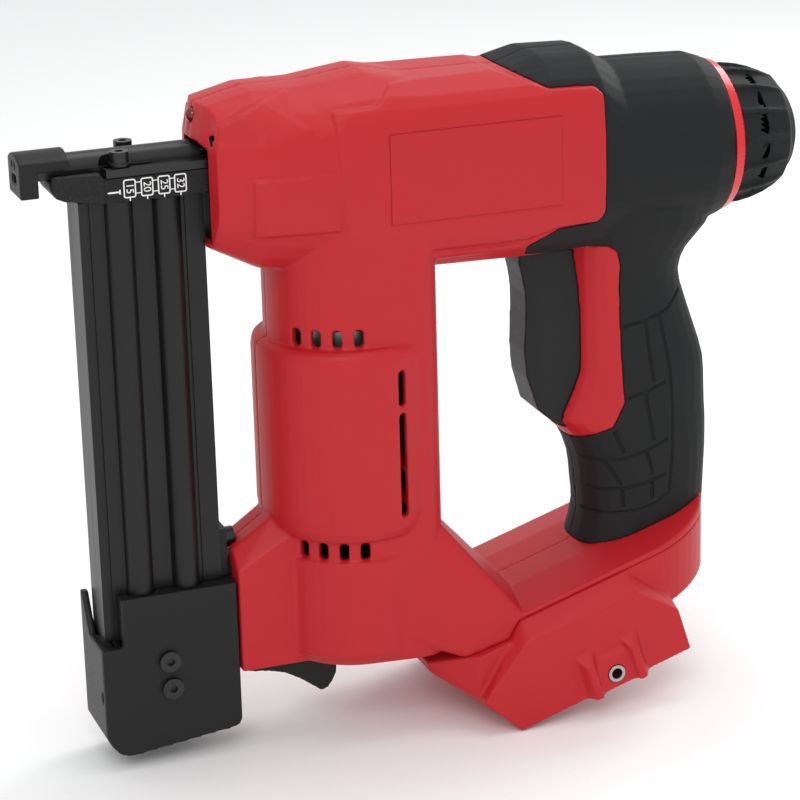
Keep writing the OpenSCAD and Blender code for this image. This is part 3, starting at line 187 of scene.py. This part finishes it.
def moulded(name, colour, roughness, grain_mm, depth_mm, mottle=0.10, edge_mm=0.0, ior=1.5, specular=0.5):
    """Injection-moulded plastic: a fine spark-eroded grain, slight mottling and rounded edges."""
    mat, tree, shader, place = new_material(name)
    grain = add_node(tree, "ShaderNodeTexNoise", {"Vector": place, "Scale": per(grain_mm), "Detail": 2.0})
    cloud = add_node(tree, "ShaderNodeTexNoise", {"Vector": place, "Scale": per(38), "Detail": 3.0})
    base = linear(colour)
    dark = tuple(c * (1 - mottle) for c in base[:3]) + (1,)
    pale = tuple(min(1, c * (1 + mottle)) for c in base[:3]) + (1,)
    tree.links.new(blend_colours(tree, cloud.outputs["Fac"], dark, pale), shader.inputs["Base Color"])
    tree.links.new(ramp(tree, grain.outputs["Fac"], 0.3, 0.7, roughness - 0.06, roughness + 0.06),
                   shader.inputs["Roughness"])
    soft = add_node(tree, "ShaderNodeBevel", {"Radius": edge_mm * MM}, samples=4) if edge_mm else None
    bump = add_node(tree, "ShaderNodeBump", {"Height": grain.outputs["Fac"], "Distance": depth_mm * MM,
                                             "Strength": 0.6})
    if soft:
        tree.links.new(soft.outputs["Normal"], bump.inputs["Normal"])
    tree.links.new(bump.outputs["Normal"], shader.inputs["Normal"])
    shader.inputs["IOR"].default_value = ior
    shader.inputs["Specular IOR Level"].default_value = specular
    return mat


def bare_metal(name, colour, roughness, grain, depth_mm=0.01):
    """Metal that was turned, ground or cast: a directional grain and uneven gloss."""
    mat, tree, shader, place = new_material(name)
    lines = add_node(tree, "ShaderNodeTexNoise", {"Vector": stretched(tree, place, *grain), "Scale": 1.0,
                                                  "Detail": 3.0})
    smear = add_node(tree, "ShaderNodeTexNoise", {"Vector": place, "Scale": per(9), "Detail": 4.0})
    base = linear(colour)
    dark = tuple(c * 0.82 for c in base[:3]) + (1,)
    tree.links.new(blend_colours(tree, smear.outputs["Fac"], dark, base), shader.inputs["Base Color"])
    tree.links.new(ramp(tree, lines.outputs["Fac"], 0.3, 0.7, roughness - 0.07, roughness + 0.09),
                   shader.inputs["Roughness"])
    bump = add_node(tree, "ShaderNodeBump", {"Height": lines.outputs["Fac"], "Distance": depth_mm * MM,
                                             "Strength": 0.5})
    tree.links.new(bump.outputs["Normal"], shader.inputs["Normal"])
    shader.inputs["Metallic"].default_value = 1.0
    return mat


def anodised_extrusion(colour):
    """Black anodised aluminium extrusion: satin, with faint die lines along its length."""
    mat, tree, shader, place = new_material("black_anodised_aluminium")
    die = add_node(tree, "ShaderNodeTexNoise", {"Vector": stretched(tree, place, per(0.7), per(0.7), per(70)),
                                                "Scale": 1.0, "Detail": 4.0})
    cloud = add_node(tree, "ShaderNodeTexNoise", {"Vector": place, "Scale": per(25), "Detail": 3.0})
    base = linear(colour)
    pale = tuple(c * 1.6 for c in base[:3]) + (1,)
    tree.links.new(blend_colours(tree, cloud.outputs["Fac"], base, pale), shader.inputs["Base Color"])
    tree.links.new(ramp(tree, die.outputs["Fac"], 0.3, 0.7, 0.30, 0.46), shader.inputs["Roughness"])
    shader.inputs["Specular IOR Level"].default_value = 0.35
    bump = add_node(tree, "ShaderNodeBump", {"Height": die.outputs["Fac"], "Distance": 0.03 * MM, "Strength": 0.5})
    tree.links.new(bump.outputs["Normal"], shader.inputs["Normal"])
    return mat


def black_casting(colour):
    """Black-coated casting: pitted skin, with tiny grey specks painted into its colour as glints."""
    mat, tree, shader, place = new_material("black_coated_casting")
    pits = add_node(tree, "ShaderNodeTexNoise", {"Vector": place, "Scale": per(0.9), "Detail": 4.0})
    # Painted glints: tiny grey specks mixed into the base colour at the cell centres
    glint_cells = add_node(tree, "ShaderNodeTexVoronoi", {"Vector": place, "Scale": per(0.8)}, feature="F1")
    painted_glint = ramp(tree, glint_cells.outputs["Distance"], 0.16, 0.06)
    tree.links.new(blend_colours(tree, painted_glint, linear(colour), linear("5A5A5C")), shader.inputs["Base Color"])
    tree.links.new(ramp(tree, pits.outputs["Fac"], 0.3, 0.7, 0.34, 0.58), shader.inputs["Roughness"])
    shader.inputs["Specular IOR Level"].default_value = 0.3
    bump = add_node(tree, "ShaderNodeBump", {"Height": pits.outputs["Fac"], "Distance": 0.12 * MM, "Strength": 0.6})
    tree.links.new(bump.outputs["Normal"], shader.inputs["Normal"])
    return mat


def clear_red_lens():
    """Clear red polycarbonate dome: glossy, with light passing through."""
    mat, tree, shader, place = new_material("red_polycarbonate")
    cloud = add_node(tree, "ShaderNodeTexNoise", {"Vector": place, "Scale": per(2), "Detail": 1.0})
    tree.links.new(blend_colours(tree, cloud.outputs["Fac"], linear("6E0A10"), linear("A3141C")),
                   shader.inputs["Base Color"])
    shader.inputs["Roughness"].default_value = 0.12
    shader.inputs["Transmission Weight"].default_value = 0.45
    shader.inputs["IOR"].default_value = 1.58
    return mat


MATERIALS = {}


def make_materials():
    """Every finish of the tool, by its name in the record."""
    c = bpy.context.scene.nailer_colours
    # ABS from a spark-eroded mould: an even red with a fine grain that breaks up the highlights
    MATERIALS["red_plastic"] = moulded("moulded_red_abs", c.red, 0.44, 0.55, 0.05, 0.04, 0.6, 1.5, 0.3)
    # Thermoplastic elastomer: nearly matt, so edges show only as soft grey sheens
    MATERIALS["soft_skin"] = moulded("black_tpe_overmould", c.skin, 0.62, 0.5, 0.05, 0.12, 0.6, 1.46, 0.22)
    # Glass-filled nylon: a little shinier than the skin, with a coarser grain
    MATERIALS["black_plastic"] = moulded("black_glass_filled_nylon", c.black, 0.46, 0.6, 0.05, 0.12, 0.4, 1.5, 0.28)
    # Gloss ABS ring
    MATERIALS["bright_red"] = moulded("gloss_red_abs", c.ring, 0.24, 0.8, 0.01, 0.03, 0.3)
    # Polyurethane buffer: dull and slightly translucent brown-black
    MATERIALS["urethane"] = moulded("cast_polyurethane", "2C2722", 0.5, 1.2, 0.04, 0.15, 0.4, 1.5)
    # Epoxy board under green solder mask
    MATERIALS["board_green"] = moulded("fr4_solder_mask", "1F5A36", 0.3, 3.0, 0.02, 0.2, 0.0)
    # Enamelled copper winding on the rotor
    MATERIALS["copper_winding"] = bare_metal("enamelled_copper", "A8632F", 0.35, (per(1.1), per(1.1), per(12)), 0.2)
    MATERIALS["label_plate"] = moulded("red_abs_panel", c.red, 0.38, 0.55, 0.03, 0.03, 0.3, 1.5, 0.3)
    MATERIALS["scale_print"] = moulded("black_printed_film", "0D0D0E", 0.35, 0.6, 0.01, 0.1, 0.0, 1.5, 0.3)
    MATERIALS["print_white"] = moulded("white_screen_print", c.mark, 0.5, 0.3, 0.01, 0.03, 0.0)
    MATERIALS["black_anodised"] = anodised_extrusion(c.anodised)
    MATERIALS["black_casting"] = black_casting("131314")
    # Black-oxide screws and small steel parts: oily dark sheen
    MATERIALS["black_steel"] = moulded("black_oxide_steel", "121213", 0.33, 0.5, 0.03, 0.2, 0.2, 1.6, 0.4)
    MATERIALS["steel"] = bare_metal("ground_steel", "B4B7BA", 0.28, (per(0.5), per(0.5), per(8)))
    MATERIALS["spring_steel"] = bare_metal("drawn_spring_wire", "A9ACB0", 0.25, (per(0.4), per(0.4), per(0.4)))
    MATERIALS["alloy"] = bare_metal("cast_aluminium", "A4A6A8", 0.42, (per(0.8), per(0.8), per(0.8)), 0.05)
    MATERIALS["brass"] = bare_metal("stamped_brass", "C79F4A", 0.3, (per(0.4), per(3), per(0.4)))
    MATERIALS["red_lens"] = clear_red_lens()


def dress(obj, finish):
    """Give an object one finish and no other."""
    obj.data.materials.clear()
    obj.data.materials.append(MATERIALS[finish])


# ---------------------------------------------------------------- making pieces

def only(obj):
    """Deselect all, then select and activate one object."""
    if bpy.context.object and bpy.context.object.mode != "OBJECT":
        bpy.ops.object.mode_set(mode="OBJECT")
    bpy.ops.object.select_all(action="DESELECT")
    obj.select_set(True)
    bpy.context.view_layer.objects.active = obj


def settle(obj, name, body, finish, smooth=30):
    """Put a piece's place into its mesh, name it, finish it and make it ride."""
    only(obj)
    bpy.ops.object.transform_apply(location=True, rotation=True, scale=True)
    obj.name = name
    obj.data.name = name
    bpy.ops.object.shade_smooth_by_angle(angle=math.radians(smooth))
    dress(obj, finish)
    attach(obj, body)
    return obj


def copy_of(node):
    """A merged copy of a CAD node's mesh, free of its parent."""
    only(frame["nodes"][node])
    bpy.ops.object.duplicate()
    piece = bpy.context.object
    bpy.ops.object.parent_clear(type="CLEAR")
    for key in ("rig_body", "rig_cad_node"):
        if key in piece:
            del piece[key]
    bpy.ops.object.mode_set(mode="EDIT")
    bpy.ops.mesh.select_all(action="SELECT")
    bpy.ops.mesh.remove_doubles(threshold=2e-6)
    bpy.ops.object.mode_set(mode="OBJECT")
    return piece


def apply_modifier(piece, kind, **settings):
    """Add a modifier with its settings and apply it."""
    only(piece)
    bpy.ops.object.modifier_add(type=kind)
    modifier = piece.modifiers[-1]
    for key, value in settings.items():
        setattr(modifier, key, value)
    bpy.ops.object.modifier_apply(modifier=modifier.name)


MOST_TRIANGLES = 150000  # of a rebuilt piece, so that its mesh stays handy
SOFT_SMOOTH = 50  # degrees, edges of rebuilt pieces that are gentler than this shade as one surface


def softened(node, name, step, passes):
    """The same piece rebuilt in small even steps and relaxed, as a moulded part with soft edges."""
    piece = copy_of(node)
    apply_modifier(piece, "REMESH", mode="VOXEL", voxel_size=step, adaptivity=0.0)
    apply_modifier(piece, "SMOOTH", factor=0.5, iterations=passes)
    triangles = 2 * len(piece.data.polygons)
    if triangles > MOST_TRIANGLES:
        apply_modifier(piece, "DECIMATE", ratio=MOST_TRIANGLES / triangles)
    settle(piece, name, BODY_OF[node], SLOT_OF[node], SOFT_SMOOTH)
    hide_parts(node)
    return piece


# Lines of the grip's broken paving, as (x, z) in mm, seen from the side
GRIP_LINES = (
    ((188.2, -60.6), (196.5, -59.1), (204.6, -56.3), (210.8, -50.2)),
    ((201.6, -57.2), (203.6, -66.9), (205.7, -77.0), (206.7, -91.6), (206.5, -108.3), (205.2, -124.2),
     (200.6, -127.3), (193.0, -129.1), (184.0, -129.8), (175.7, -129.5), (169.9, -126.9)),
    ((196.5, -59.1), (197.8, -70.7), (199.5, -81.7)),
    ((196.1, -85.2), (197.5, -94.3), (199.1, -103.4)),
    ((196.5, -107.5), (198.9, -116.2)),
    ((198.7, -119.2), (198.7, -125.3)),
    ((189.6, -86.9), (194.7, -85.7), (204.0, -82.7)),
    ((168.0, -107.2), (177.2, -109.3), (187.2, -109.4), (195.1, -107.3), (204.8, -103.7)),
    ((169.6, -120.1), (180.6, -120.8), (188.9, -120.4), (196.5, -119.2), (204.1, -116.7)),
    ((184.5, -98.4), (188.2, -106.8)),
    ((181.7, -109.9), (187.5, -119.2)),
    ((187.8, -120.9), (187.8, -127.3)),
)


GROOVE_STEP = 1.5  # mm between the points of a groove
OUTSIDE = 60  # mm from the middle, well clear of the skin


def on_surface(piece, x, z, side):
    """Where the skin lies at a place seen from the side, or None beside it."""
    start = at(x, side * OUTSIDE, z)
    hit, point, normal, index = piece.ray_cast(start, Vector((0, -side, 0)))
    return point if hit else None


def engrave(piece, side):
    """Cut the grip's lines into the skin as shallow round-bottomed grooves."""
    width = bpy.context.scene.nailer_sizes.groove
    cutters = []
    for line in GRIP_LINES:
        points = []
        for (xa, za), (xb, zb) in zip(line, line[1:]):
            n = max(2, round(math.hypot(xb - xa, zb - za) / GROOVE_STEP))
            points += [on_surface(piece, xa + (xb - xa) * i / n, za + (zb - za) * i / n, side) for i in range(n)]
        points.append(on_surface(piece, line[-1][0], line[-1][1], side))
        points = [p for p in points if p]
        if len(points) < 2:
            continue
        bpy.ops.curve.primitive_nurbs_path_add(location=(0, 0, 0))
        curve = bpy.context.object
        curve.data.splines.clear()
        spline = curve.data.splines.new("POLY")
        spline.points.add(len(points) - 1)
        for spot, p in zip(spline.points, points):
            spot.co = (p.x, p.y, p.z, 1)
        curve.data.dimensions = "3D"
        curve.data.bevel_depth = 0.5 * width
        curve.data.bevel_resolution = 1
        curve.data.use_fill_caps = True
        only(curve)
        bpy.ops.object.convert(target="MESH")
        cutters.append(bpy.context.object)
    for cutter in cutters:
        only(piece)
        bpy.ops.object.modifier_add(type="BOOLEAN")
        modifier = piece.modifiers[-1]
        modifier.operation = "DIFFERENCE"
        modifier.solver = "EXACT"
        modifier.object = cutter
        bpy.ops.object.modifier_apply(modifier=modifier.name)
    for cutter in cutters:
        only(cutter)
        bpy.ops.object.delete()


class NAILER_OT_shell(bpy.types.Operator):
    """Make the two housing halves, the soft skins and the battery foot"""

    bl_idname = "nailer.shell"
    bl_label = "Shell"

    def execute(self, context):
        step = context.scene.nailer_sizes.coarse
        for node in ("housing_left", "housing_right"):
            softened(node, node + "_moulding", step, 2)
        for node, side in (("grip_left", LEFT), ("grip_right", RIGHT)):
            skin = softened(node, node + "_skin", step, 3)
            engrave(skin, side)
        softened("battery_foot", "foot_moulding", step, 2)
        return {"FINISHED"}


class NAILER_OT_moulded_parts(bpy.types.Operator):
    """Make the small moulded parts with their soft edges"""

    bl_idname = "nailer.moulded_parts"
    bl_label = "Moulded parts"

    def execute(self, context):
        step = context.scene.nailer_sizes.fine
        softened("trigger", "trigger_moulding", step, 4)
        softened("latch_lever", "latch_moulding", step, 3)
        softened("magazine_cover", "cover_moulding", step * 1.2, 2)
        softened("contact_tip", "tip_moulding", step * 0.8, 2)
        softened("nose_body", "nose_casting", step * 0.9, 2)
        softened("rear_knob", "knob_moulding", step * 1.2, 2)
        return {"FINISHED"}


def bar(x0, x1, z0, z1, y):
    """A thin raised mark on the side of the nose."""
    bpy.ops.mesh.primitive_cube_add(size=1)
    piece = bpy.context.object
    piece.scale = ((x1 - x0) * MM, 0.06 * MM, (z1 - z0) * MM)
    piece.location = at((x0 + x1) / 2, y, (z0 + z1) / 2)
    bpy.ops.object.transform_apply(location=True, rotation=True, scale=True)
    apply_modifier(piece, "BEVEL", width=0.02 * MM, segments=1)
    return piece


def rounded_frame(x0, x1, z0, z1, y, line):
    """A thin rounded frame on the side of the nose."""
    bpy.ops.mesh.primitive_plane_add(size=1, rotation=(math.radians(90), 0, 0))
    piece = bpy.context.object
    piece.scale = ((x1 - x0) * MM, (z1 - z0) * MM, 1)
    piece.location = at((x0 + x1) / 2, y, (z0 + z1) / 2)
    bpy.ops.object.transform_apply(location=True, rotation=True, scale=True)
    bpy.ops.object.mode_set(mode="EDIT")
    bpy.ops.mesh.select_all(action="SELECT")
    bpy.ops.mesh.bevel(offset=0.8 * MM, segments=4, affect="VERTICES")
    bpy.ops.mesh.select_all(action="SELECT")
    bpy.ops.mesh.inset(thickness=line * MM)
    bpy.ops.mesh.delete(type="FACE")
    bpy.ops.object.mode_set(mode="OBJECT")
    apply_modifier(piece, "SOLIDIFY", thickness=0.05 * MM, offset=0)
    return piece


def numeral(text, x, z, y):
    """A number that reads downwards on the side of the nose."""
    bpy.ops.object.text_add()
    piece = bpy.context.object
    piece.data.body = text
    piece.data.size = 3.6 * MM
    piece.data.align_x = "CENTER"
    piece.data.align_y = "CENTER"
    piece.data.extrude = 0.03 * MM
    turn = Matrix(((0, 1, 0), (0, 0, -1), (-1, 0, 0))).to_4x4()
    piece.matrix_world = Matrix.Translation(at(x, y, z)) @ turn
    only(piece)
    bpy.ops.object.convert(target="MESH")
    return bpy.context.object


SCALE_MARKS = ((16.3, "15"), (22.1, "20"), (27.8, "25"), (33.3, "32"))  # x in mm and the brad length there
FRAME_LINE = 0.42  # mm, width of the line round a number
FRAME_HALF = 2.1  # mm, half width of the frame round a number


class NAILER_OT_scale_marks(bpy.types.Operator):
    """Make the brad lengths printed on the nose"""

    bl_idname = "nailer.scale_marks"
    bl_label = "Scale marks"

    def execute(self, context):
        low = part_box("length_scale")[0]
        y = low.y / MM - 0.03
        pieces = []
        for x, text in SCALE_MARKS:
            pieces.append(rounded_frame(x - FRAME_HALF, x + FRAME_HALF, 4.4, 10.6, y, FRAME_LINE))
            pieces.append(numeral(text, x, 7.5, y))
            pieces.append(bar(x - 0.2, x + 0.2, 3.4, 4.5, y))
        for (x0, _), (x1, _) in zip(SCALE_MARKS, SCALE_MARKS[1:]):
            pieces += [bar(x0 + 2, x1 - 2, 9.2, 9.5, y), bar(x0 + 2, x1 - 2, 5.6, 5.9, y)]
        # The nail sign: shank, head and point
        pieces += [bar(9.3, 12.9, 6.4, 6.95, y), bar(12.8, 13.3, 5.9, 7.45, y), bar(8.9, 9.4, 6.5, 6.85, y)]
        only(pieces[0])
        for piece in pieces[1:]:
            piece.select_set(True)
        bpy.ops.object.join()
        settle(bpy.context.object, "scale_marks", "housing", "print_white")
        return {"FINISHED"}


class NAILER_OT_finishes(bpy.types.Operator):
    """Give every piece that stays as designed its finish"""

    bl_idname = "nailer.finishes"
    bl_label = "Finishes"

    def execute(self, context):
        for node, obj in frame["nodes"].items():
            only(obj)
            dress(obj, SLOT_OF[node])
            bpy.ops.object.shade_smooth_by_angle(angle=math.radians(30))
        return {"FINISHED"}


class NAILER_OT_stage(bpy.types.Operator):
    """Set the pale floor, the soft studio light and the camera"""

    bl_idname = "nailer.stage"
    bl_label = "Stage"

    def execute(self, context):
        bpy.ops.object.select_all(action="DESELECT")
        bpy.ops.mesh.primitive_plane_add(size=8, location=(0, 0, -0.3 * MM))
        floor = context.object
        floor.name = "studio_floor"
        bpy.ops.object.transform_apply(location=True, rotation=True, scale=True)
        mat, tree, shader, place = new_material("pale_seamless_paper")
        fibre = add_node(tree, "ShaderNodeTexNoise", {"Vector": place, "Scale": per(2), "Detail": 3.0})
        tree.links.new(blend_colours(tree, fibre.outputs["Fac"], linear("F4F4F3"), linear("F8F8F7")),
                       shader.inputs["Base Color"])
        shader.inputs["Roughness"].default_value = 0.9
        floor.data.materials.append(mat)
        world = bpy.data.worlds.new("studio")
        world.use_nodes = True
        background = world.node_tree.nodes["Background"]
        background.inputs["Color"].default_value = linear("F6F7F9")
        background.inputs["Strength"].default_value = 0.85
        context.scene.world = world
        context.scene.view_settings.view_transform = "Standard"
        middle = Vector((0, 0, 0.12))
        for name, place_at, size, power in (
                ("key_light", (-0.5, -1.1, 1.1), 0.7, 6), ("top_light", (0.15, 0.1, 1.5), 0.9, 5),
                ("rim_light", (0.9, 0.5, 0.7), 0.5, 4)):
            bpy.ops.object.light_add(type="AREA", location=place_at)
            light = context.object
            light.name = name
            light.data.size = size
            light.data.energy = power
            light.rotation_euler = (middle - Vector(place_at)).to_track_quat("-Z", "Y").to_euler()
        self.camera(context)
        return {"FINISHED"}

    def camera(self, context):
        """A long lens, from the left, in front and above."""
        s = context.scene.nailer_camera
        d = Vector((math.sin(s.yaw) * math.cos(s.pitch), math.cos(s.yaw) * math.cos(s.pitch), -math.sin(s.pitch)))
        r = Vector((math.cos(s.yaw), -math.sin(s.yaw), 0))
        u = r.cross(d)
        r2 = math.cos(s.roll) * r + math.sin(s.roll) * u
        u2 = -math.sin(s.roll) * r + math.cos(s.roll) * u
        centre = at(111.13, 0, -81.52)
        bpy.ops.object.camera_add()
        cam = context.object
        cam.name = "studio_camera"
        cam.data.lens = s.lens
        cam.data.sensor_width = 36
        cam.data.clip_end = 30
        turn = Matrix((r2, u2, -d)).transposed().to_4x4()
        cam.matrix_world = Matrix.Translation(centre - s.reach * d) @ turn
        context.scene.camera = cam


class NAILER_PT_panel(bpy.types.Panel):
    """Steps and settings of the tool"""

    bl_idname = "NAILER_PT_panel"
    bl_label = "Brad nailer"
    bl_space_type = "VIEW_3D"
    bl_region_type = "UI"
    bl_category = "Nailer"

    def draw(self, context):
        column = self.layout.column()
        for step in STEPS:
            column.operator(step.bl_idname)
        for group in (context.scene.nailer_colours, context.scene.nailer_sizes, context.scene.nailer_camera):
            for key in group.bl_rna.properties.keys():
                if key not in ("rna_type", "name"):
                    column.prop(group, key)


STEPS = (NAILER_OT_finishes, NAILER_OT_shell, NAILER_OT_moulded_parts, NAILER_OT_scale_marks, NAILER_OT_stage)
GROUPS = (("nailer_colours", NailerColours), ("nailer_sizes", NailerSizes), ("nailer_camera", NailerCamera))


def register():
    for name, group in GROUPS:
        bpy.utils.register_class(group)
        setattr(bpy.types.Scene, name, PointerProperty(type=group))
    for step in STEPS:
        bpy.utils.register_class(step)
    bpy.utils.register_class(NAILER_PT_panel)


def unregister():
    bpy.utils.unregister_class(NAILER_PT_panel)
    for step in reversed(STEPS):
        bpy.utils.unregister_class(step)
    for name, group in reversed(GROUPS):
        delattr(bpy.types.Scene, name)
        bpy.utils.unregister_class(group)


def main():
    register()
    make_materials()
    for step in STEPS:
        group, name = step.bl_idname.split(".")
        if getattr(getattr(bpy.ops, group), name)() != {"FINISHED"}:
            raise RuntimeError(step.bl_label + " did not finish")
    bpy.ops.object.select_all(action="DESELECT")


if __name__ == "__main__":
    main()
